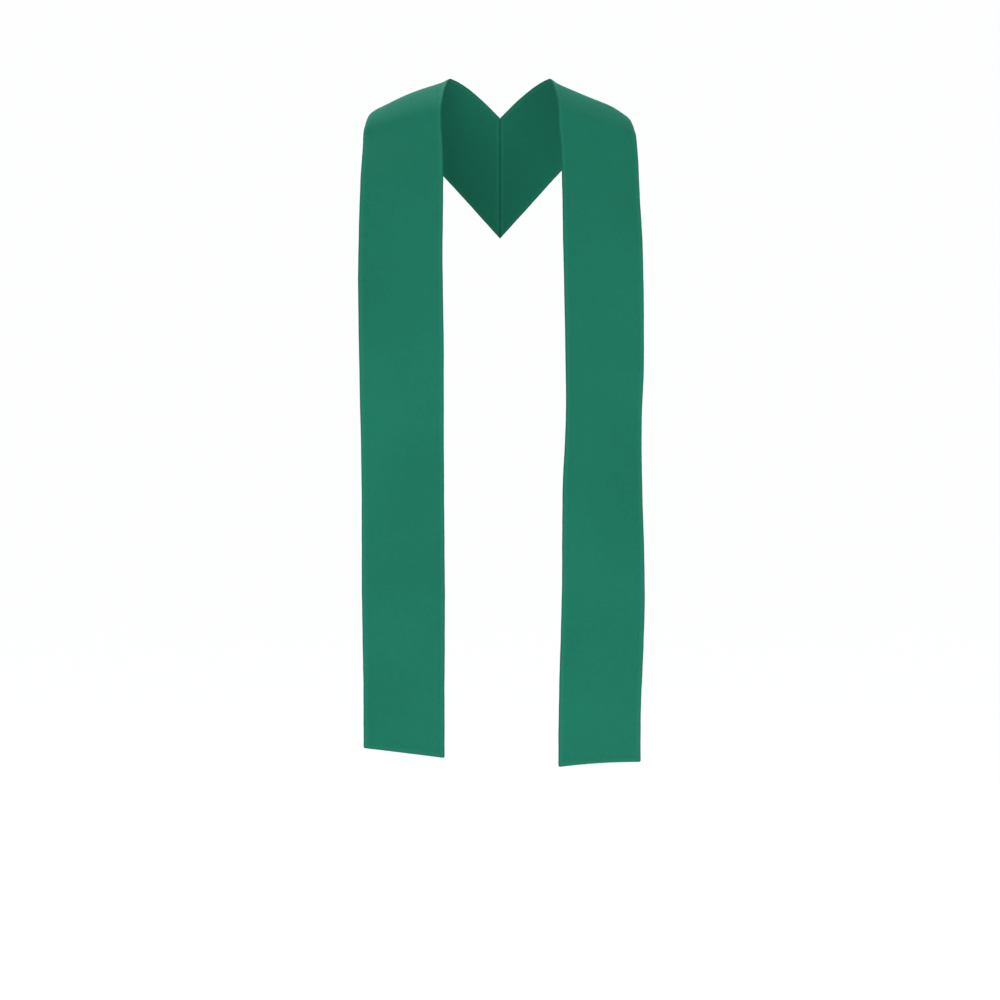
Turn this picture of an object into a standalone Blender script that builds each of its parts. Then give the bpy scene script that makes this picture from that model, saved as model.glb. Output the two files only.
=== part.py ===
"""Clerical stole, worn: two straight bands of doubled cloth that hang from the shoulders.

The bands meet in a mitred seam at the centre back. Each one is a flat strip that bends along
straight lines, so it keeps its cut width and nearly its cut length wherever it lies. Below the
chest line it shears a little where its edges shift sideways.
The origin lies midway between the tops of the shoulders, where the neck comes through.
+Z is up, -Y is the wearer's front and +X is the wearer's left. Sizes are in metres.
"""

import math
from collections import namedtuple

import bmesh
import bpy
from mathutils import Matrix, Vector

# Cloth
BAND_WIDTH = 0.133
WALL = 0.0024
SEAM_GAP = 0.0003
GREEN = (0.016, 0.185, 0.122, 1.0)
ROUGHNESS = 0.85

# Where the bands lie on the wearer
NECK_EDGE_OUT = 0.076
NECK_LIFT = 0.0025
NECK_LIFT_WIDTH = 0.022
CURVE_REACH = 0.100

# How finely the cloth is divided
HANG_STEP = 0.040
TURN_STEP = 6.0
SLOPE_STEP = 0.002
COLUMNS = (0.0, 0.05, 0.11, 0.18, 0.34, 0.5, 0.66, 0.78, 0.88, 0.95, 1.0)

# The way that the chest carries the cloth forward, below the chest line
Chest = namedtuple("Chest", "drop forward")
CHEST = (
    Chest(0.000, 0.000),
    Chest(0.045, 0.012),
    Chest(0.145, 0.032),
    Chest(0.285, 0.045),
    Chest(0.565, 0.049),
    Chest(0.985, 0.049),
)

# How each band hangs below the chest line: how far its neck edge shifts outward,
# and how far it turns to face away from the middle, in degrees
Hang = namedtuple("Hang", "drop shift turn")
RIGHT_HANG = (
    Hang(0.000, 0.0000, 20.0),
    Hang(0.030, -0.0020, 17.0),
    Hang(0.090, -0.0030, 11.0),
    Hang(0.225, -0.0025, 6.5),
    Hang(0.365, -0.0045, 5.5),
    Hang(0.525, -0.0045, 13.0),
    Hang(0.715, -0.0060, 12.0),
    Hang(0.965, -0.0055, 17.0),
)
LEFT_HANG = (
    Hang(0.000, 0.0000, 20.0),
    Hang(0.030, 0.0030, 21.5),
    Hang(0.090, 0.0055, 23.0),
    Hang(0.205, 0.0070, 19.0),
    Hang(0.385, 0.0105, 22.0),
    Hang(0.465, 0.0105, 25.0),
    Hang(0.565, 0.0060, 20.0),
    Hang(0.745, 0.0040, 11.5),
    Hang(0.965, -0.0010, 14.0),
)

# Hems, as distances below the tops of the shoulders at the neck edge and at the outer edge
Hem = namedtuple("Hem", "neck_edge outer_edge")
RIGHT_HEM = Hem(1.0675, 1.0555)
LEFT_HEM = Hem(1.0815, 1.0765)

# Bends over the shoulder, from the chest line to the back. Each row is a straight line across
# the band, by its distance from the chest line along either edge. It says how far the cloth has
# turned there, in degrees, and how much of the curve across the band it has.
Fold = namedtuple("Fold", "neck_edge outer_edge turned curve")
FOLDS = (
    Fold(0.000, 0.000, 0.0, 0.4),
    Fold(0.016, 0.003, 0.0, 0.5),
    Fold(0.035, 0.014, 17.0, 0.8),
    Fold(0.091, 0.047, 42.0, 1.0),
    Fold(0.106, 0.059, 82.0, 0.8),
    Fold(0.154, 0.115, 103.0, 0.3),
    Fold(0.210, 0.150, 124.0, 0.0),
    Fold(0.280, 0.205, 139.0, 0.0),
    Fold(0.455, 0.430, 146.0, 0.0),
)

# The curve across each band over the shoulder: how far its middle rises, how far its outer edge
# droops, and the width of the strip that droops. Both neck edges stand up a little. The curve
# fades below the chest line.
Shoulder = namedtuple("Shoulder", "crown droop droop_width")
RIGHT_SHOULDER = Shoulder(0.0045, 0.0040, 0.015)
LEFT_SHOULDER = Shoulder(-0.0015, 0.0100, 0.042)

Section = namedtuple("Section", "neck_edge outer_edge normal curve")


def remove_all_objects():
    for thing in list(bpy.data.objects):
        bpy.data.objects.remove(thing, do_unlink=True)


def collection_named(name):
    group = bpy.data.collections.new(name)
    bpy.context.scene.collection.children.link(group)
    return group


def cloth_material(name, colour):
    material = bpy.data.materials.new(name)
    material.diffuse_color = colour
    material.use_nodes = True
    shader = material.node_tree.nodes["Principled BSDF"]
    shader.inputs["Base Color"].default_value = colour
    shader.inputs["Roughness"].default_value = ROUGHNESS
    shader.inputs["Metallic"].default_value = 0.0
    return material


def smooth(rows, column, at):
    """The column's value at a drop, on a smooth curve through the rows that ends level."""
    drops = [row.drop for row in rows]
    values = [getattr(row, column) for row in rows]
    slopes = [(values[1] - values[0]) / (drops[1] - drops[0])] + [0.0] * (len(rows) - 1)
    for i in range(1, len(rows) - 1):
        slopes[i] = (values[i + 1] - values[i - 1]) / (drops[i + 1] - drops[i - 1])
    if at >= drops[-1]:
        return values[-1]
    i = max(k for k in range(len(rows) - 1) if drops[k] <= max(at, 0.0))
    span = drops[i + 1] - drops[i]
    t = (at - drops[i]) / span
    start = values[i] * (2 * t**3 - 3 * t**2 + 1) + slopes[i] * span * (t**3 - 2 * t**2 + t)
    end = values[i + 1] * (3 * t**2 - 2 * t**3) + slopes[i + 1] * span * (t**3 - t**2)
    return start + end


def hang_point(hang, drop):
    """The neck edge of the hanging stretch, from the chest line."""
    return Vector((smooth(hang, "shift", drop), -smooth(CHEST, "forward", drop), -drop))


def hang_frame(hang, drop):
    """A point of the neck edge, the way up the band and the way across it."""
    point = hang_point(hang, drop)
    up = hang_point(hang, drop - SLOPE_STEP) - hang_point(hang, drop + SLOPE_STEP)
    up.x = 0.0
    up.normalize()
    turn = math.radians(smooth(hang, "turn", drop))
    across = Vector((math.cos(turn), math.sin(turn), 0.0))
    across = (across - up * across.dot(up)).normalized()
    return point, up, across


def shoulder_sections(hang):
    """Sections from the chest line over the shoulder and across the back."""
    point, up, across = hang_frame(hang, 0.0)
    sections = []
    at = 0.0
    for row, following in zip(FOLDS, FOLDS[1:]):
        turn = following.turned - row.turned
        steps = max(1, round(turn / TURN_STEP))
        for step in range(steps):
            t = (step + 0.5) / steps
            neck = row.neck_edge + (following.neck_edge - row.neck_edge) * t
            outer = row.outer_edge + (following.outer_edge - row.outer_edge) * t
            curve = row.curve + (following.curve - row.curve) * t
            inside = point + up * (neck - at)
            outside = inside + up * (outer - neck) + across * BAND_WIDTH
            bend = Matrix.Rotation(math.radians(turn / steps), 3, inside - outside)
            before = across.cross(up)
            point, at = inside, neck
            up, across = bend @ up, bend @ across
            normal = (before + across.cross(up)).normalized()
            sections.append(Section(inside, outside, normal, curve))
    last = FOLDS[-1]
    inside = point + up * (last.neck_edge - at)
    outside = inside + up * (last.outer_edge - last.neck_edge) + across * BAND_WIDTH
    sections.append(Section(inside, outside, across.cross(up), 0.0))
    return sections


def hang_sections(hang, neck_drop, outer_drop):
    """Sections from the hem up to the chest line. The hem slants from edge to edge."""
    count = round(neck_drop / HANG_STEP)
    sections = []
    for i in range(count + 1):
        share = 1.0 - i / count
        inside, up, across = hang_frame(hang, share * neck_drop)
        outside = inside + across * BAND_WIDTH + up * share * (neck_drop - outer_drop)
        curve = FOLDS[0].curve * max(0.0, 1.0 - share * neck_drop / CURVE_REACH) ** 2
        sections.append(Section(inside, outside, across.cross(up), curve))
    return sections


def band_sections(hang, hem):
    """All sections of a band on the +X side, with the top of its neck edge over the shoulder."""
    over = shoulder_sections(hang)
    top = max((section.neck_edge for section in over), key=lambda point: point.z)
    move = Vector((NECK_EDGE_OUT, 0.0, 0.0)) - top
    sections = hang_sections(hang, hem.neck_edge - top.z, hem.outer_edge - top.z) + over
    return [
        section._replace(neck_edge=section.neck_edge + move, outer_edge=section.outer_edge + move)
        for section in sections
    ]


def across_section(section, share, shoulder):
    """A point of a section, at a share of the width from its neck edge."""
    point = section.neck_edge.lerp(section.outer_edge, share)
    from_neck = share * BAND_WIDTH
    from_outer = BAND_WIDTH - from_neck
    lift = NECK_LIFT * max(0.0, 1.0 - from_neck / NECK_LIFT_WIDTH) ** 2
    droop = shoulder.droop * max(0.0, 1.0 - from_outer / shoulder.droop_width) ** 2
    crown = shoulder.crown * math.sin(math.pi * share)
    return point + section.normal * section.curve * (lift - droop + crown)


def seam_cutter(name, side, group):
    """A box that holds all beyond the middle plane, less half of the seam's gap."""
    size = 2.0
    bpy.ops.mesh.primitive_cube_add(size=size)
    cutter = bpy.context.object
    cutter.name = name
    cutter.location = (side * (SEAM_GAP - size) / 2, 0.0, 0.0)
    cutter.hide_render = True
    cutter.display_type = "WIRE"
    for owner in list(cutter.users_collection):
        owner.objects.unlink(cutter)
    group.objects.link(cutter)
    return cutter


def make_band(name, side, hang, hem, shoulder, material, group, cutters):
    """A band on the side of the sign of side, thickened, then cut at the centre back."""
    surface = bmesh.new()
    rows = []
    for section in band_sections(hang, hem):
        points = [across_section(section, share, shoulder) for share in COLUMNS]
        rows.append([surface.verts.new((side * p.x, p.y, p.z)) for p in points])
    for low, high in zip(rows, rows[1:]):
        for i in range(len(COLUMNS) - 1):
            corners = [low[i], low[i + 1], high[i + 1], high[i]]
            surface.faces.new(corners if side > 0 else corners[::-1])
    mesh = bpy.data.meshes.new(name)
    surface.to_mesh(mesh)
    surface.free()
    mesh.materials.append(material)
    mesh.shade_smooth()
    band = bpy.data.objects.new(name, mesh)
    group.objects.link(band)
    wall = band.modifiers.new("Wall", "SOLIDIFY")
    wall.thickness = WALL
    wall.offset = 0.0
    wall.use_even_offset = True
    seam = band.modifiers.new("Centre back seam", "BOOLEAN")
    seam.operation = "DIFFERENCE"
    seam.solver = "EXACT"
    seam.object = seam_cutter(name + "_seam", side, cutters)
    return band


def main():
    remove_all_objects()
    stole = collection_named("clerical_stole")
    cutters = collection_named("cutters")
    right = cloth_material("green cloth right", GREEN)
    left = cloth_material("green cloth left", GREEN)
    make_band("band_right", -1, RIGHT_HANG, RIGHT_HEM, RIGHT_SHOULDER, right, stole, cutters)
    make_band("band_left", 1, LEFT_HANG, LEFT_HEM, LEFT_SHOULDER, left, stole, cutters)


main()
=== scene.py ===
"""Clerical stole, worn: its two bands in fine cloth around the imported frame, on a plain pale stage.

Laid out as an add-on and run as a script: main registers the classes, then calls the operators.
Lengths are in metres, in the frame's axes: +Z is up, -Y the wearer's front, +X the wearer's left.
A band is described lying flat: "run" is the distance up the band from its chest line, and "across"
the distance from its neck edge. It then hangs, and bends over the shoulder along straight lines.
"""

import math
from collections import namedtuple

import bpy
import numpy as np
from bpy.props import FloatProperty, FloatVectorProperty, PointerProperty
from mathutils import Matrix, Vector


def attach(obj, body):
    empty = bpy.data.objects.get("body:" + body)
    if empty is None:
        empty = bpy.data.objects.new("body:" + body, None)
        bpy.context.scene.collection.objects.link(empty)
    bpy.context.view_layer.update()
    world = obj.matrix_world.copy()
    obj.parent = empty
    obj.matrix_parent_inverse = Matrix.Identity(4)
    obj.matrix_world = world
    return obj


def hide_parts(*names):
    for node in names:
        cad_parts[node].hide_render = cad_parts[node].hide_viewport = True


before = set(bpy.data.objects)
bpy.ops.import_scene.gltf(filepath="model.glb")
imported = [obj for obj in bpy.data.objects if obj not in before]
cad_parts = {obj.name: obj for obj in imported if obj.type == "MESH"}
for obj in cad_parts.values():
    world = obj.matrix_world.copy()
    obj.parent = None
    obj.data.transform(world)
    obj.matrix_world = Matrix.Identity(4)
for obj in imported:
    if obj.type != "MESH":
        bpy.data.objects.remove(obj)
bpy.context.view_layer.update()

bl_info = {
    "name": "Clerical stole",
    "version": (1, 0, 0),
    "blender": (4, 5, 0),
    "location": "3D View > Sidebar > Stole",
    "description": "Makes a worn clerical stole and a plain stage for it",
    "category": "Object",
}

BODY = "root"

# Where the bands lie on the wearer. Both neck edges stand up a little over the shoulder, and the
# curve across each band fades below the chest line.
NECK_EDGE_OUT = 0.076
NECK_LIFT = 0.0025
NECK_LIFT_WIDTH = 0.022
CURVE_REACH = 0.100

# The seam at the centre back: the run beyond which it is looked for, half of the gap that keeps
# the bands apart, and how near to it the creases die away
BACK_START = 0.110
SEAM_CLEAR = 0.000002
SEAM_STILL = 0.012

# The way that the chest carries the cloth forward, below the chest line
Chest = namedtuple("Chest", "drop forward")
CHEST = (
    Chest(0.000, 0.000),
    Chest(0.045, 0.012),
    Chest(0.145, 0.032),
    Chest(0.285, 0.045),
    Chest(0.565, 0.049),
    Chest(0.985, 0.049),
)

# How each band hangs below the chest line: how far its neck edge shifts outward,
# and how far it turns to face away from the middle, in degrees
Hang = namedtuple("Hang", "drop shift turn")
RIGHT_HANG = (
    Hang(0.000, 0.0000, 20.0),
    Hang(0.030, -0.0020, 17.0),
    Hang(0.090, -0.0030, 11.0),
    Hang(0.225, -0.0025, 6.5),
    Hang(0.365, -0.0045, 5.5),
    Hang(0.525, -0.0045, 13.0),
    Hang(0.715, -0.0060, 12.0),
    Hang(0.965, -0.0055, 17.0),
)
LEFT_HANG = (
    Hang(0.000, 0.0000, 20.0),
    Hang(0.030, 0.0030, 21.5),
    Hang(0.090, 0.0055, 23.0),
    Hang(0.205, 0.0070, 19.0),
    Hang(0.385, 0.0105, 22.0),
    Hang(0.465, 0.0105, 25.0),
    Hang(0.565, 0.0060, 20.0),
    Hang(0.745, 0.0040, 11.5),
    Hang(0.965, -0.0010, 14.0),
)

# Bends over the shoulder, from the chest line to the back. Each row is a straight line across the
# band, by its distance from the chest line along either edge. It says how far the cloth has
# turned there, in degrees, and how much of the curve across the band it has.
Fold = namedtuple("Fold", "neck_edge outer_edge turned curve")
FOLDS = (
    Fold(0.000, 0.000, 0.0, 0.4),
    Fold(0.016, 0.003, 0.0, 0.5),
    Fold(0.035, 0.014, 17.0, 0.8),
    Fold(0.091, 0.047, 42.0, 1.0),
    Fold(0.106, 0.059, 82.0, 0.8),
    Fold(0.154, 0.115, 103.0, 0.3),
    Fold(0.210, 0.150, 124.0, 0.0),
    Fold(0.280, 0.205, 139.0, 0.0),
    Fold(0.455, 0.430, 146.0, 0.0),
)

# The curve across each band over the shoulder: how far its middle rises, how far its outer edge
# droops, and the width of the strip that droops
Shoulder = namedtuple("Shoulder", "crown droop droop_width")
RIGHT_SHOULDER = Shoulder(0.0045, 0.0040, 0.015)
LEFT_SHOULDER = Shoulder(-0.0015, 0.0100, 0.042)

# A pressed edge, from the fine cleft where the two layers meet to the flat middle: the way round
# it, how far it lies inside the edge, and half the thickness there. The turnings inside make
# the strip beside the edge thicker. In millimetres.
Rim = namedtuple("Rim", "way inset half")
RIMS = (
    Rim(0.00, 0.42, 0.00),
    Rim(0.05, 0.12, 0.16),
    Rim(0.10, 0.00, 0.46),
    Rim(0.20, 0.07, 0.78),
    Rim(0.45, 0.45, 1.03),
    Rim(1.10, 1.10, 1.15),
    Rim(2.20, 2.20, 1.20),
    Rim(3.60, 3.60, 1.22),
    Rim(5.00, 5.00, 1.18),
    Rim(6.10, 6.10, 1.08),
    Rim(7.00, 7.00, 0.95),
    Rim(7.90, 7.90, 0.84),
    Rim(9.20, 9.20, 0.79),
    Rim(11.50, 11.50, 0.80),
    Rim(15.00, 15.00, 0.83),
    Rim(19.00, 19.00, 0.84),
)
HEM_CORNER = 2.5
SEAM_CORNER = 0.8
MM = 0.001

# Soft troughs and ridges that the drape leaves, by the place of their middle on the flat band.
# Each runs along the band, leaning outward on the way up by the slant, in degrees.
Crease = namedtuple("Crease", "run across length width slant rise")
RIGHT_CREASES = (
    Crease(0.045, 0.094, 0.055, 0.020, 32.0, -0.0007),
    Crease(-0.060, 0.040, 0.120, 0.028, 5.0, 0.0011),
    Crease(-0.200, 0.084, 0.150, 0.032, -5.0, -0.0013),
    Crease(-0.380, 0.044, 0.170, 0.029, 3.0, 0.0012),
    Crease(-0.600, 0.086, 0.170, 0.030, -3.0, -0.0014),
    Crease(-0.800, 0.050, 0.140, 0.030, 2.0, 0.0010),
    Crease(0.215, 0.088, 0.070, 0.018, 25.0, -0.0008),
    Crease(0.300, 0.112, 0.060, 0.014, 35.0, 0.0006),
)
LEFT_CREASES = (
    Crease(0.040, 0.100, 0.050, 0.019, 36.0, -0.0007),
    Crease(-0.040, 0.042, 0.080, 0.028, 14.0, -0.0015),
    Crease(-0.185, 0.088, 0.100, 0.032, -8.0, 0.0016),
    Crease(-0.330, 0.066, 0.100, 0.028, 10.0, -0.0013),
    Crease(-0.520, 0.058, 0.150, 0.030, -3.0, 0.0009),
    Crease(-0.740, 0.090, 0.140, 0.028, 4.0, -0.0012),
    Crease(0.200, 0.080, 0.070, 0.018, 28.0, -0.0007),
    Crease(0.320, 0.106, 0.055, 0.015, 30.0, 0.0006),
)

# Small waves: sideways along both edges, and puckers in and out beside them. Those of the outer
# edge start elsewhere, so the two edges differ.
Wave = namedtuple("Wave", "length height start")
EDGE_WAVES = (
    Wave(0.230, 0.00014, 0.4),
    Wave(0.097, 0.00009, 2.1),
    Wave(0.041, 0.00005, 4.4),
)
PUCKERS = (
    Wave(0.0170, 0.00010, 0.9),
    Wave(0.0107, 0.00007, 3.2),
    Wave(0.0430, 0.00012, 5.0),
)
PUCKER_REACH = 0.009
OUTER_WAVE_START = 2.6
OUTER_PUCKER_START = 2.0

# Each band: its side, its cloth's lie and its hem. The hem's drops are measured from the top of
# the shoulder at either edge, and bow says how far its middle is drawn up.
Band = namedtuple("Band", "name node side hang shoulder creases neck_drop outer_drop bow phase")
BANDS = (
    Band("stole_band_right", "band_right", -1, RIGHT_HANG, RIGHT_SHOULDER, RIGHT_CREASES,
         1.0675, 1.0555, 0.0002, 0.0),
    Band("stole_band_left", "band_left", 1, LEFT_HANG, LEFT_SHOULDER, LEFT_CREASES,
         1.0815, 1.0765, 0.0020, 1.7),
)
BOW_REACH = 0.030

# How finely the cloth is divided
COURSE_STEP = 0.0025
MIDDLE_STEP = 0.0045
HANG_STEP = 0.0035
SHOULDER_ROWS = 120
SLOPE_STEP = 0.002

Course = namedtuple("Course", "neck outer normal curve neck_run outer_run")


class StoleCloth(bpy.types.PropertyGroup):
    """Sizes and colours of the cloth."""

    band_width: FloatProperty(
        name="Band width", description="Finished width of each band",
        default=0.133, min=0.08, max=0.20, unit="LENGTH",
    )
    green: FloatVectorProperty(
        name="Green", description="Main colour of the cloth",
        default=(0.0135, 0.193, 0.121), size=3, min=0.0, max=1.0, subtype="COLOR",
    )
    # The shaded green is the darker end of the random tone, and the painted shade in the gaps between
    # threads
    shade: FloatVectorProperty(
        name="Shaded green", description="Colour of the darker threads and hollows",
        default=(0.0105, 0.159, 0.098), size=3, min=0.0, max=1.0, subtype="COLOR",
    )
    # Deep green is a painted shadow along the very edge of the cloth
    edge_shadow_green: FloatVectorProperty(
        name="Deep green", description="Colour of the fold at the very edge",
        default=(0.0060, 0.090, 0.055), size=3, min=0.0, max=1.0, subtype="COLOR",
    )
    # Light green is used only as a painted highlight along the pressed edges
    light: FloatVectorProperty(
        name="Light green", description="Colour of the lighter threads and pressed edges",
        default=(0.0165, 0.224, 0.144), size=3, min=0.0, max=1.0, subtype="COLOR",
    )
    warp_pitch: FloatProperty(
        name="Warp pitch", description="Distance between threads that run along the band",
        default=0.00046, min=0.0002, max=0.002, precision=5, unit="LENGTH",
    )
    weft_pitch: FloatProperty(
        name="Weft pitch", description="Distance between threads that run across the band",
        default=0.00054, min=0.0002, max=0.002, precision=5, unit="LENGTH",
    )
    thread_relief: FloatProperty(
        name="Thread relief", description="Height of the threads over the gaps between them",
        default=0.00007, min=0.0, max=0.0005, precision=5, unit="LENGTH",
    )
    roughness: FloatProperty(
        name="Roughness", description="Roughness of the cloth away from its edges",
        default=0.78, min=0.0, max=1.0, subtype="FACTOR",
    )
    sheen: FloatProperty(
        name="Sheen", description="Soft shine of the fibres at a low angle",
        default=0.12, min=0.0, max=1.0, subtype="FACTOR",
    )


class StoleStage(bpy.types.PropertyGroup):
    """Sizes, colours and lights of the stage."""

    floor_height: FloatProperty(
        name="Floor height", description="Height of the floor, at the wearer's feet",
        default=-1.50, unit="LENGTH",
    )
    floor_colour: FloatVectorProperty(
        name="Floor colour", description="Colour of the floor and the wall that curves up from it",
        default=(0.120, 0.123, 0.122), size=3, min=0.0, max=1.0, subtype="COLOR",
    )
    floor_glow: FloatProperty(
        name="Floor glow", description="How far the floor and the wall shine by themselves",
        default=0.92, min=0.0,
    )
    camera_distance: FloatProperty(
        name="Camera distance", description="Distance of the camera in front of the neck",
        default=4.5, min=1.0, unit="LENGTH",
    )
    camera_height: FloatProperty(
        name="Camera height", description="Height of the level camera",
        default=-0.667, unit="LENGTH",
    )
    lens: FloatProperty(
        name="Lens", description="Focal length, for a square picture on a 36 mm sensor",
        default=101.84, min=10.0, unit="CAMERA",
    )
    surround: FloatProperty(
        name="Surround light", description="Strength of the even light from all round",
        default=0.48, min=0.0,
    )


def slopes_through(xs, ys):
    """Slopes of a smooth curve through points, as on a hanging edge. It ends level."""
    slopes = np.zeros(len(xs))
    slopes[0] = (ys[1] - ys[0]) / (xs[1] - xs[0])
    slopes[1:-1] = (ys[2:] - ys[:-2]) / (xs[2:] - xs[:-2])
    return slopes


def steady_slopes(xs, ys):
    """Slopes of a smooth curve through points that never swings past them. It starts level."""
    steps = np.diff(ys) / np.diff(xs)
    slopes = np.zeros(len(xs))
    for i in range(1, len(xs) - 1):
        if steps[i - 1] * steps[i] > 0:
            slopes[i] = 2 / (1 / steps[i - 1] + 1 / steps[i])
    slopes[-1] = steps[-1]
    return slopes


def curve_at(xs, ys, slopes, at):
    """Values at the places in at, on the curve with those slopes."""
    at = np.minimum(np.asarray(at, dtype=float), xs[-1])
    i = np.clip(np.searchsorted(xs, at, side="right") - 1, 0, len(xs) - 2)
    span = xs[i + 1] - xs[i]
    t = (at - xs[i]) / span
    start = ys[i] * (2 * t**3 - 3 * t**2 + 1) + slopes[i] * span * (t**3 - 2 * t**2 + t)
    end = ys[i + 1] * (3 * t**2 - 2 * t**3) + slopes[i + 1] * span * (t**3 - t**2)
    return start + end


def column_of(rows, name):
    return np.array([getattr(row, name) for row in rows])


def hang_value(rows, name, drop):
    xs, ys = column_of(rows, "drop"), column_of(rows, name)
    return curve_at(xs, ys, slopes_through(xs, ys), drop)


def fold_value(name, run):
    xs, ys = column_of(FOLDS, "neck_edge"), column_of(FOLDS, name)
    return curve_at(xs, ys, steady_slopes(xs, ys), run)


def unit(vectors):
    return vectors / np.linalg.norm(vectors, axis=-1, keepdims=True)


def neck_line(hang, drop):
    """The neck edge of the hanging stretch, from the chest line."""
    forward = hang_value(CHEST, "forward", drop)
    return np.stack([hang_value(hang, "shift", drop), -forward, -drop], axis=-1)


def hanging_frame(hang, drop):
    """Points of the neck edge, the way up the band and the way across it."""
    rise = neck_line(hang, drop - SLOPE_STEP) - neck_line(hang, drop + SLOPE_STEP)
    up = unit(rise * (0, 1, 1))
    turn = np.radians(hang_value(hang, "turn", drop))
    across = np.stack([np.cos(turn), np.sin(turn), np.zeros(len(turn))], axis=-1)
    across = unit(across - up * np.sum(across * up, axis=-1, keepdims=True))
    return neck_line(hang, drop), up, across


def shoulder_course(hang, width):
    """The band from its chest line over the shoulder and across the back."""
    start, ups, acrosses = hanging_frame(hang, np.array([0.0]))
    point, up, across = Vector(start[0]), Vector(ups[0]), Vector(acrosses[0])
    runs = np.arange(0.0, FOLDS[-1].neck_edge + COURSE_STEP / 2, COURSE_STEP)
    outer_runs = fold_value("outer_edge", runs)
    turned = np.radians(fold_value("turned", runs + COURSE_STEP / 2))
    bends = np.diff(turned, prepend=0.0)
    neck, outer, normal = [], [], []
    for i, run in enumerate(runs):
        if i:
            point = point + up * COURSE_STEP
        far = point + up * (outer_runs[i] - run) + across * width
        before = across.cross(up)
        bend = Matrix.Rotation(bends[i], 3, point - far)
        up, across = bend @ up, bend @ across
        neck.append(point)
        outer.append(far)
        normal.append((before + across.cross(up)).normalized())
    curve = fold_value("curve", runs)
    return Course(np.array(neck), np.array(outer), np.array(normal), curve, runs, outer_runs)


def hanging_course(hang, neck_drop, outer_drop, width):
    """The band from its hem up to just below the chest line. The hem slants."""
    count = round(neck_drop / COURSE_STEP)
    share = 1.0 - np.arange(count) / count
    neck, up, across = hanging_frame(hang, share * neck_drop)
    slant = share * (neck_drop - outer_drop)
    outer = neck + across * width + up * slant[:, None]
    curve = FOLDS[0].curve * np.maximum(0, 1 - share * neck_drop / CURVE_REACH) ** 2
    neck_run = -share * neck_drop
    return Course(neck, outer, np.cross(across, up), curve, neck_run, neck_run + slant)


def band_course(band, width):
    """The whole band on the +X side, with the top of its neck edge over the shoulder."""
    over = shoulder_course(band.hang, width)
    top = over.neck[np.argmax(over.neck[:, 2])]
    below = hanging_course(band.hang, band.neck_drop - top[2], band.outer_drop - top[2], width)
    course = Course(*[np.concatenate(pair) for pair in zip(below, over)])
    move = np.array([NECK_EDGE_OUT, 0.0, 0.0]) - top
    return course._replace(neck=course.neck + move, outer=course.outer + move)


def along(course, values, run):
    """A column of the course at distances along its neck edge."""
    if values.ndim == 1:
        return np.interp(run, course.neck_run, values)
    return np.stack([np.interp(run, course.neck_run, values[:, k]) for k in range(3)], axis=-1)


def wave_sum(waves, at, start):
    return sum(w.height * np.sin(at * math.tau / w.length + w.start + start) for w in waves)


def crease_rise(creases, across, run):
    """How far the soft creases lift the cloth."""
    rise = np.zeros(np.shape(run))
    for crease in creases:
        slant = math.radians(crease.slant)
        x, y = across - crease.across, run - crease.run
        side = (x * math.cos(slant) - y * math.sin(slant)) / crease.width
        length = (x * math.sin(slant) + y * math.cos(slant)) / crease.length
        rise += crease.rise * np.exp(-side**2 - length**2)
    return rise


def middle_points(band, course, share, run, width):
    """Points midway through the cloth, with its flat coordinates and the way through it."""
    neck, outer = along(course, course.neck, run), along(course, course.outer, run)
    points = neck + (outer - neck) * share[..., None]
    by_seam = np.where(run > BACK_START, np.clip(points[..., 0] / SEAM_STILL, 0, 1), 1)
    loose = by_seam**2 * (3 - 2 * by_seam)
    normal = along(course, course.normal, run)
    normal = unit(np.stack([normal[..., 0] * loose, normal[..., 1], normal[..., 2]], axis=-1))
    from_neck = share * width
    from_outer = width - from_neck
    flat_run = run + share * (along(course, course.outer_run, run) - run)
    shoulder = band.shoulder
    lift = NECK_LIFT * np.maximum(0, 1 - from_neck / NECK_LIFT_WIDTH) ** 2
    droop = shoulder.droop * np.maximum(0, 1 - from_outer / shoulder.droop_width) ** 2
    crown = shoulder.crown * np.sin(math.pi * share)
    near_edge = np.exp(-(np.minimum(from_neck, from_outer) / PUCKER_REACH) ** 2)
    pucker_start = band.phase + OUTER_PUCKER_START * (share > 0.5)
    puckers = near_edge * wave_sum(PUCKERS, flat_run, pucker_start)
    drape = crease_rise(band.creases, from_neck, flat_run) + puckers
    rise = along(course, course.curve, run) * (lift - droop + crown) + drape * loose
    neck_sway = wave_sum(EDGE_WAVES, flat_run, band.phase)
    outer_sway = wave_sum(EDGE_WAVES, flat_run, band.phase + OUTER_WAVE_START)
    sway = neck_sway * (1 - share) + outer_sway * share
    points = points + normal * rise[..., None]
    points = points + unit(outer - neck) * (sway * loose)[..., None]
    return points, np.stack([from_neck, flat_run], axis=-1), normal


def rim_steps(width):
    """The rims from an edge to the middle of the band, with plain steps beyond the table."""
    last = RIMS[-1]
    spare = width / 2 / MM - last.inset
    count = round(spare * MM / MIDDLE_STEP)
    plain = [last.inset + spare * i / count for i in range(1, count + 1)]
    return RIMS + tuple(Rim(inset, inset, last.half) for inset in plain)


def round_corner(rims, i, j, radius):
    """Distances from a side and from an end, in metres, i rims in from one and j from the other."""
    side, end = rims[i], rims[j]
    if max(side.way, end.way) >= radius:
        return side.inset * MM, end.inset * MM
    reach = radius - rims[min(i, j)].inset
    away = Vector((radius - side.way, radius - end.way)).normalized() * reach
    return (radius - away.x) * MM, (radius - away.y) * MM


def seam_run(course, share, from_seam):
    """The run at which a line along the band comes so near to the centre back."""
    back = course.neck_run >= BACK_START
    x = course.neck[back, 0] + share * (course.outer[back, 0] - course.neck[back, 0])
    return np.interp(SEAM_CLEAR + from_seam, x[::-1], course.neck_run[back][::-1])


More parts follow.
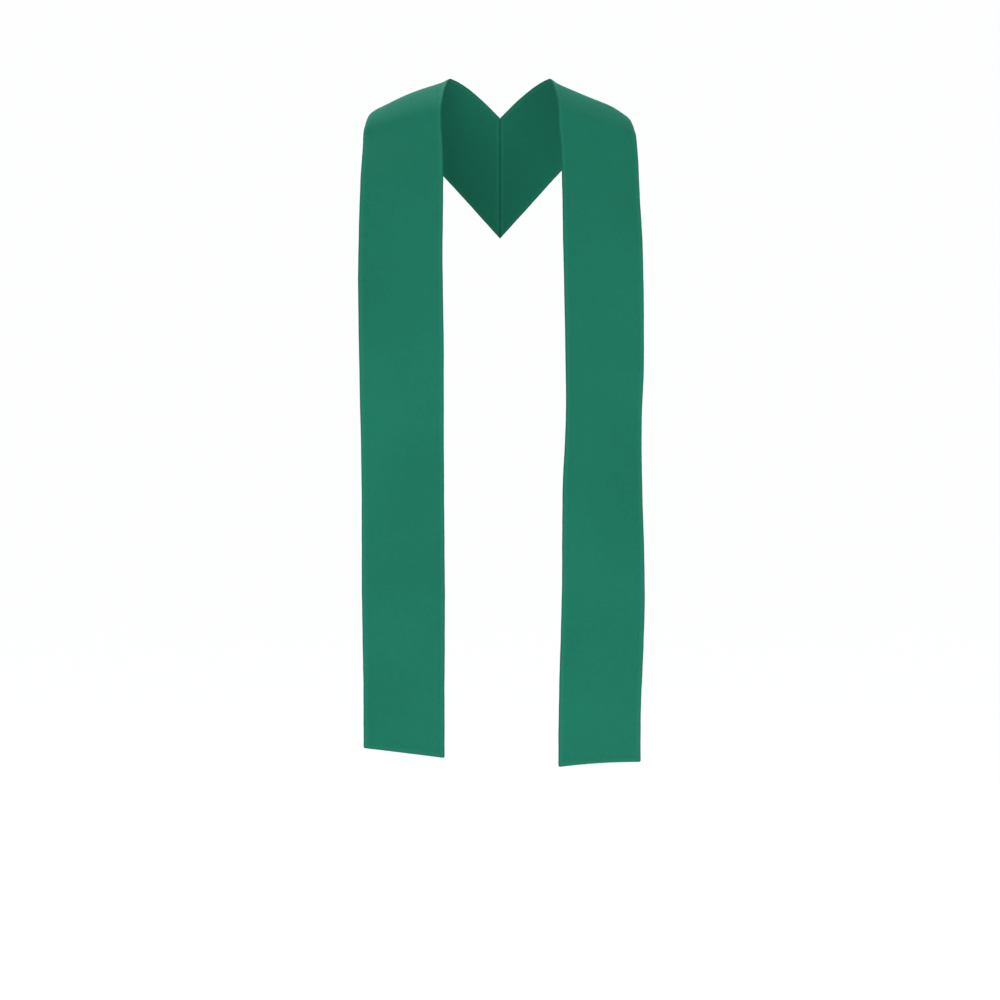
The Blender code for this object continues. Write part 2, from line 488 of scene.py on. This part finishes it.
def band_grid(band, course, width):
    """Share of the width, run and rim for each point of a grid from the hem to the back seam."""
    rims = rim_steps(width)
    side_count, end_count = len(rims), len(RIMS)
    columns = [(i, False) for i in range(side_count)]
    columns += [(i, True) for i in range(side_count - 2, -1, -1)]
    hem = course.neck_run[0]
    last_rim = RIMS[-1].inset * MM
    hang_rows = round(-(hem + last_rim) / HANG_STEP)
    share, run, ring = [], [], []

    def add_row(j, radius, place):
        row = [round_corner(rims, i, j, radius) for i, _ in columns]
        shares = [1 - a / width if outer else a / width for (a, _), (_, outer) in zip(row, columns)]
        share.append(shares)
        run.append([place(s, b) for s, (_, b) in zip(shares, row)])
        ring.append([min(i, j) for i, _ in columns])

    def from_hem(s, distance):
        fade = max(0.0, 1 - distance / BOW_REACH)
        return hem + distance + band.bow * math.sin(math.pi * s) * fade

    for j in range(end_count):
        add_row(j, HEM_CORNER, from_hem)
    for k in range(1, hang_rows + 1):
        distance = last_rim + k / hang_rows * -(hem + last_rim)
        add_row(end_count, HEM_CORNER, lambda s, _, distance=distance: from_hem(s, distance))
    for k in range(1, SHOULDER_ROWS):
        part = k / SHOULDER_ROWS
        add_row(end_count, SEAM_CORNER, lambda s, _, part=part: part * seam_run(course, s, last_rim))
    for j in range(end_count - 1, -1, -1):
        add_row(j, SEAM_CORNER, lambda s, distance: seam_run(course, s, distance))
    return np.array(share), np.array(run), np.array(ring)


def band_mesh(band, width):
    """A closed mesh: the face and the underside meet in the cleft all round the edge."""
    course = band_course(band, width)
    share, run, ring = band_grid(band, course, width)
    middle, flat, normal = middle_points(band, course, share, run, width)
    half = column_of(RIMS, "half")[np.minimum(ring, len(RIMS) - 1)] * MM
    inset = np.minimum(share, 1 - share) * width
    to_seam = np.abs(middle[..., 0]) - SEAM_CLEAR
    inset = np.minimum(inset, np.where(run > 0, to_seam, run - course.neck_run[0]))
    rows, columns = share.shape
    faces = []
    face_ids = np.arange(rows * columns).reshape(rows, columns)
    inner = ring > 0
    under_ids = face_ids.copy()
    under_ids[inner] = rows * columns + np.arange(np.count_nonzero(inner))
    for ids, flip in ((face_ids, band.side < 0), (under_ids, band.side > 0)):
        quads = np.stack([ids[:-1, :-1], ids[:-1, 1:], ids[1:, 1:], ids[1:, :-1]], axis=-1)
        quads = quads.reshape(-1, 4)
        faces.append(quads[:, ::-1] if flip else quads)
    top = (middle + normal * half[..., None]).reshape(-1, 3)
    under = (middle - normal * half[..., None])[inner]
    points = np.concatenate([top, under]) * (band.side, 1, 1)
    mesh = bpy.data.meshes.new(band.name)
    mesh.from_pydata(points.tolist(), [], np.concatenate(faces).tolist())
    flats = np.concatenate([flat.reshape(-1, 2), flat[inner]])
    corners = np.empty(len(mesh.loops), dtype=np.int32)
    mesh.loops.foreach_get("vertex_index", corners)
    mesh.uv_layers.new(name="flat_cloth").uv.foreach_set("vector", flats[corners].ravel())
    edge = mesh.attributes.new("from_edge", "FLOAT", "POINT")
    edge.data.foreach_set("value", np.concatenate([inset.ravel(), inset[inner]]))
    mesh.shade_smooth()
    return mesh, flat


def flat_sizes(flat):
    """The cut's greatest length and its area, from the grid's flat coordinates."""
    rising = flat[1:, 1:] - flat[:-1, :-1]
    falling = flat[1:, :-1] - flat[:-1, 1:]
    crossed = rising[..., 0] * falling[..., 1] - rising[..., 1] * falling[..., 0]
    return float(np.ptp(flat[..., 1])), float(abs(np.sum(crossed)) / 2)


class Value:
    """An output socket of a node. Operators on it add Math nodes."""

    def __init__(self, shading, output):
        self.shading = shading
        self.output = output

    def math(self, operation, *others):
        return self.shading.node(
            "ShaderNodeMath", {"operation": operation}, dict(enumerate((self, *others)))
        )

    def reflected(self, operation, other):
        return self.shading.node("ShaderNodeMath", {"operation": operation}, {0: other, 1: self})

    def __add__(self, other):
        return self.math("ADD", other)

    __radd__ = __add__

    def __sub__(self, other):
        return self.math("SUBTRACT", other)

    def __rsub__(self, other):
        return self.reflected("SUBTRACT", other)

    def __mul__(self, other):
        return self.math("MULTIPLY", other)

    __rmul__ = __mul__

    def __truediv__(self, other):
        return self.math("DIVIDE", other)

    def __rtruediv__(self, other):
        return self.reflected("DIVIDE", other)

    def __mod__(self, other):
        return self.math("FLOORED_MODULO", other)

    def floor(self):
        return self.math("FLOOR")

    def fraction(self):
        return self.math("FRACT")

    def cosine(self):
        return self.math("COSINE")


class Shading:
    """The nodes of one material."""

    def __init__(self, name):
        self.material = bpy.data.materials.new(name)
        self.material.use_nodes = True
        self.tree = self.material.node_tree
        self.shader = self.tree.nodes["Principled BSDF"]

    def node(self, kind, settings, sockets, output=0):
        """Adds a node: its settings first, then the values or links of its sockets."""
        made = self.tree.nodes.new(kind)
        for name, value in settings.items():
            setattr(made, name, value)
        for key, value in sockets.items():
            self.put(made.inputs[key], value)
        return Value(self, made.outputs[output])

    def put(self, socket, value):
        if isinstance(value, Value):
            self.tree.links.new(value.output, socket)
        else:
            socket.default_value = value

    def set(self, **sockets):
        """Sets or links the shader's own sockets, named with underscores for spaces."""
        for name, value in sockets.items():
            self.put(self.shader.inputs[name.replace("_", " ")], value)

    def mix(self, share, first, second):
        """A colour between two, by share."""
        return self.node(
            "ShaderNodeMix", {"data_type": "RGBA", "clamp_factor": True},
            {0: share, 6: first, 7: second}, output=2,
        )

    def noise(self, vector, grain):
        sockets = {"Vector": vector, "Scale": grain.scale, "Detail": grain.detail}
        return self.node("ShaderNodeTexNoise", {}, sockets)

    def fade(self, value, start, full):
        """A smooth rise from 0 where the value is start to 1 where it is full."""
        return self.node(
            "ShaderNodeMapRange", {"interpolation_type": "SMOOTHSTEP"},
            {"Value": value, "From Min": start, "From Max": full},
        )


def opaque(colour):
    return (*colour, 1.0)


# Uneven patches of a surface, by the size of the noise and its detail
Grain = namedtuple("Grain", "scale detail")
BROAD_GRAIN = Grain(6.0, 2.0)
FINE_GRAIN = Grain(210.0, 3.0)
FLOOR_GRAIN = Grain(1.5, 2.0)

# How much each kind of unevenness lightens the cloth from its shade towards its main green. The
# crowns of the woven threads are painted lighter and the gaps between them darker, as painted light
# and shade.
BROAD_TONE = 1.10
FINE_TONE = 1.30
THREAD_TONE = 0.18
CROWN_PAINTED_LIGHT = 0.14
EVEN_TONE = 0.34
WEFT_DRAW = 0.37

# Pressed edges are smoother and carry a painted highlight in lighter green, and the very edge a
# painted shadow in deep green: how far from the edge each begins and is full, and its share of the
# colour
PRESSED_HIGHLIGHT_START = 0.0085
PRESSED_HIGHLIGHT_FULL = 0.0045
EDGE_HIGHLIGHT_SHARE = 0.38
PRESSED_SMOOTHING = 0.05
EDGE_SHADOW_START = 0.0020
EDGE_SHADOW_FULL = 0.0008
EDGE_SHADOW_SHARE = 0.55

# Finish of the fibres
FINE_ROUGHNESS = 0.10
FINE_HEIGHT = 0.35
THREAD_HEIGHT = 0.15
SPECULAR = 0.08
SHEEN_ROUGHNESS = 0.45
SHEEN_TINT = (0.20, 0.92, 0.70)


def cloth_material(cloth):
    """Plain woven matt polyester: crossing threads, each a little lighter or darker than the next."""
    shading = Shading("green_plain_weave")
    flat = shading.node("ShaderNodeUVMap", {"uv_map": "flat_cloth"}, {})
    across = shading.node("ShaderNodeSeparateXYZ", {}, {0: flat}, output=0)
    up = shading.node("ShaderNodeSeparateXYZ", {}, {0: flat}, output=1)
    warp = across / cloth.warp_pitch
    weft = up / cloth.weft_pitch
    warp_round = ((warp.fraction() - 0.5) * math.pi).cosine()
    weft_round = ((weft.fraction() - 0.5) * math.pi).cosine()
    over = (warp.floor() + weft.floor()) % 2.0
    warp_crown = warp_round * (0.5 + 0.5 * weft_round)
    weft_crown = weft_round * (0.5 + 0.5 * warp_round)
    height = warp_crown + over * (weft_crown - warp_crown)

    one = {"noise_dimensions": "1D"}
    warp_tone = shading.node("ShaderNodeTexWhiteNoise", one, {"W": warp.floor()})
    weft_tone = shading.node("ShaderNodeTexWhiteNoise", one, {"W": weft.floor() + WEFT_DRAW})
    thread_tone = warp_tone + over * (weft_tone - warp_tone)
    place = shading.node("ShaderNodeTexCoord", {}, {}, output=3)
    broad = shading.noise(place, BROAD_GRAIN)
    fine = shading.noise(place, FINE_GRAIN)

    from_edge = shading.node("ShaderNodeAttribute", {"attribute_name": "from_edge"}, {}, output=2)
    # Where the pressed edges are smoother and get their painted highlight
    pressed_and_highlit = shading.fade(from_edge, PRESSED_HIGHLIGHT_START, PRESSED_HIGHLIGHT_FULL)
    # Where the painted shadow along the very edge falls
    edge_shadow_mask = shading.fade(from_edge, EDGE_SHADOW_START, EDGE_SHADOW_FULL)

    mottle = BROAD_TONE * (broad - 0.5) + FINE_TONE * (fine - 0.5)
    # The crowns of the threads get painted light, and the gaps between them painted shade
    tone = mottle + THREAD_TONE * thread_tone + CROWN_PAINTED_LIGHT * height + EVEN_TONE
    colour = shading.mix(tone, opaque(cloth.shade), opaque(cloth.green))
    # Painted highlight: lighter green along the pressed edges
    colour = shading.mix(EDGE_HIGHLIGHT_SHARE * pressed_and_highlit, colour, opaque(cloth.light))
    # Painted shadow: deep green along the very edge
    colour = shading.mix(EDGE_SHADOW_SHARE * edge_shadow_mask, colour, opaque(cloth.edge_shadow_green))
    roughness = cloth.roughness + FINE_ROUGHNESS * (fine - 0.5) - PRESSED_SMOOTHING * pressed_and_highlit
    relief = height + FINE_HEIGHT * fine + THREAD_HEIGHT * thread_tone
    bump = shading.node(
        "ShaderNodeBump", {}, {"Strength": 1.0, "Distance": cloth.thread_relief, "Height": relief}
    )
    shading.set(Base_Color=colour, Roughness=roughness, Normal=bump, Metallic=0.0)
    shading.set(Specular_IOR_Level=SPECULAR, Sheen_Weight=cloth.sheen)
    shading.set(Sheen_Roughness=SHEEN_ROUGHNESS, Sheen_Tint=opaque(SHEEN_TINT))
    return shading.material


def link(thing):
    bpy.context.scene.collection.objects.link(thing)
    return thing


class STOLE_OT_bands(bpy.types.Operator):
    """Make the two bands of cloth in place of their solids"""

    bl_idname = "stole.bands"
    bl_label = "Make the bands"

    def execute(self, context):
        cloth = context.scene.stole_cloth
        material = cloth_material(cloth)
        for band in BANDS:
            mesh, flat = band_mesh(band, cloth.band_width)
            if len(mesh.polygons) == 0:
                raise RuntimeError(f"{band.name} came out empty")
            mesh.materials.append(material)
            piece = link(bpy.data.objects.new(band.name, mesh))
            length, area = flat_sizes(flat)
            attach(piece, BODY)
            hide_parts(band.node)
        return {"FINISHED"}


# Lights: place, size, power in watts and the point that they face
Lamp = namedtuple("Lamp", "name place aim size power")
LAMPS = (
    Lamp("light_front", (-1.2, -3.5, -1.05), (0.0, 0.0, -0.50), 2.4, 58.5),
    Lamp("light_side", (2.0, -2.9, -1.05), (0.0, 0.0, -0.50), 2.2, 36.0),
    Lamp("light_top", (-0.4, 0.8, 1.8), (0.0, 0.0, 0.0), 1.4, 45.0),
    Lamp("light_back", (0.5, 3.2, 0.6), (0.0, 0.0, -0.40), 2.4, 45.0),
)

# The stage: a flat floor that curves up into a wall all round
FLOOR_RADIUS = 7.0
WALL_BEND = 2.5
WALL_HEIGHT = 9.0
BEND_STEPS = 16
TURN_STEPS = 96
MERGE_DISTANCE = 0.0001

# The stage's finish: how dull its darker patches are, and the colour that it shines with
FLOOR_DULL = 0.985
FLOOR_ROUGHNESS = 0.9
GLOW_COLOUR = (0.992, 1.0, 0.996)
SURROUND_COLOUR = (1.0, 1.0, 1.0)


def stage_mesh(height):
    """Half of the stage's section, to be turned about the middle."""
    middle = (FLOOR_RADIUS, height + WALL_BEND)
    points = [(0.0, 0.0, height)]
    for i in range(BEND_STEPS + 1):
        angle = math.pi / 2 * i / BEND_STEPS
        x = middle[0] + WALL_BEND * math.sin(angle)
        points.append((x, 0.0, middle[1] - WALL_BEND * math.cos(angle)))
    points.append((FLOOR_RADIUS + WALL_BEND, 0.0, height + WALL_HEIGHT))
    mesh = bpy.data.meshes.new("stage_floor")
    mesh.from_pydata(points, [(i, i + 1) for i in range(len(points) - 1)], [])
    return mesh


def stage_material(stage):
    """Matt painted floor with the faintest unevenness."""
    shading = Shading("pale_matt_floor")
    place = shading.node("ShaderNodeTexCoord", {}, {}, output=3)
    cloudy = shading.noise(place, FLOOR_GRAIN)
    pale = opaque(stage.floor_colour)
    dull = opaque([FLOOR_DULL * part for part in stage.floor_colour])
    shading.set(Base_Color=shading.mix(cloudy, dull, pale), Roughness=FLOOR_ROUGHNESS)
    shading.set(Emission_Color=opaque(GLOW_COLOUR), Emission_Strength=stage.floor_glow)
    return shading.material


class STOLE_OT_stage(bpy.types.Operator):
    """Make the pale floor, the soft lights and the camera"""

    bl_idname = "stole.stage"
    bl_label = "Make the stage"

    def execute(self, context):
        stage = context.scene.stole_stage
        floor = link(bpy.data.objects.new("stage_floor", stage_mesh(stage.floor_height)))
        floor.data.materials.append(stage_material(stage))
        turn = floor.modifiers.new("Turned", "SCREW")
        turn.steps = turn.render_steps = TURN_STEPS
        turn.use_merge_vertices = True
        turn.merge_threshold = MERGE_DISTANCE
        turn.use_smooth_shade = True
        floor.visible_diffuse = False
        floor.visible_glossy = False
        floor.visible_shadow = False

        for lamp in LAMPS:
            data = bpy.data.lights.new(lamp.name, "AREA")
            data.shape = "DISK"
            data.size = lamp.size
            data.energy = lamp.power
            light = link(bpy.data.objects.new(lamp.name, data))
            light.location = lamp.place
            facing = Vector(lamp.aim) - Vector(lamp.place)
            light.rotation_euler = facing.to_track_quat("-Z", "Y").to_euler()
            light.visible_camera = False

        world = bpy.data.worlds.new("soft_white")
        world.use_nodes = True
        background = world.node_tree.nodes["Background"]
        background.inputs["Color"].default_value = opaque(SURROUND_COLOUR)
        background.inputs["Strength"].default_value = stage.surround
        context.scene.world = world
        context.scene.view_settings.view_transform = "Standard"

        data = bpy.data.cameras.new("camera")
        data.lens = stage.lens
        camera = link(bpy.data.objects.new("camera", data))
        camera.location = (0.0, -stage.camera_distance, stage.camera_height)
        camera.rotation_euler = (math.pi / 2, 0.0, 0.0)
        context.scene.camera = camera
        return {"FINISHED"}


class STOLE_PT_panel(bpy.types.Panel):
    """Sizes, colours and steps of the stole, in the sidebar"""

    bl_idname = "STOLE_PT_panel"
    bl_label = "Clerical stole"
    bl_space_type = "VIEW_3D"
    bl_region_type = "UI"
    bl_category = "Stole"

    def draw(self, context):
        for group in (context.scene.stole_cloth, context.scene.stole_stage):
            box = self.layout.box()
            for name in group.__annotations__:
                box.prop(group, name)
        self.layout.operator(STOLE_OT_bands.bl_idname)
        self.layout.operator(STOLE_OT_stage.bl_idname)


CLASSES = (StoleCloth, StoleStage, STOLE_OT_bands, STOLE_OT_stage, STOLE_PT_panel)


def register():
    for kind in CLASSES:
        bpy.utils.register_class(kind)
    bpy.types.Scene.stole_cloth = PointerProperty(type=StoleCloth)
    bpy.types.Scene.stole_stage = PointerProperty(type=StoleStage)


def unregister():
    del bpy.types.Scene.stole_stage
    del bpy.types.Scene.stole_cloth
    for kind in reversed(CLASSES):
        bpy.utils.unregister_class(kind)


def main():
    register()
    bpy.ops.stole.bands()
    bpy.ops.stole.stage()


if __name__ == "__main__":
    main()
